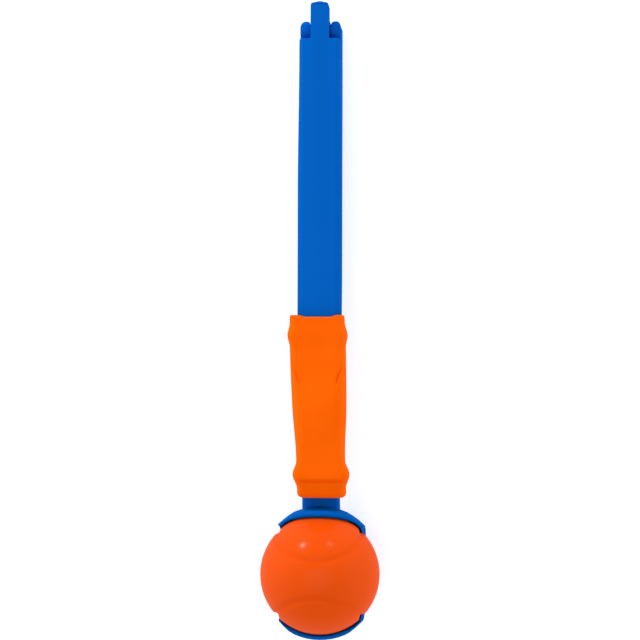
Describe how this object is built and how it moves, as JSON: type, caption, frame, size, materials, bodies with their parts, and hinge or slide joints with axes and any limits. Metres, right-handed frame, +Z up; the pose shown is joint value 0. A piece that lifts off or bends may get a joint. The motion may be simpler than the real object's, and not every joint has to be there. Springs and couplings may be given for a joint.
{
  "type": "dog ball thrower",
  "caption": "Folding dog ball thrower: moulded arm with a sprung ball cup, hinged to a bar with a rubber grip, and a grooved rubber ball in the cup.",
  "frame": {"origin": "centre of the thrower's box, on the floor it lies on, folded, with the mouth of the cup upwards", "axes": "+Y along the thrower from the cup to the fold end, +Z up, out of the cup's mouth, +X across"},
  "size_m": [0.0636, 0.3378, 0.0663],
  "materials": {
    "blue_plastic": "satin moulded blue plastic",
    "pin_steel": "bright drawn steel",
    "grip_rubber": "soft orange rubber with a fine moulded texture",
    "ball_rubber": "red-orange natural rubber, lightly glossy"
  },
  "bodies": {
    "arm": {"throwing_arm": "blue_plastic", "hinge_pin": "pin_steel"},
    "handle": {"handle_bar": "blue_plastic", "grip_sleeve": "grip_rubber"},
    "ball": {"ball": "ball_rubber"}
  },
  "joints": [
    {"name": "fold_hinge", "type": "hinge", "parent": "arm", "child": "handle", "pos_m": [0, 0.15397, 0.01333], "axis": [-1, 0, 0], "range_deg": [0, 180]},
    {"name": "ball_release", "type": "slide", "parent": "arm", "child": "ball", "axis": [0, 0.0669, 0.9978], "range_m": [0, 0.07]}
  ]
}
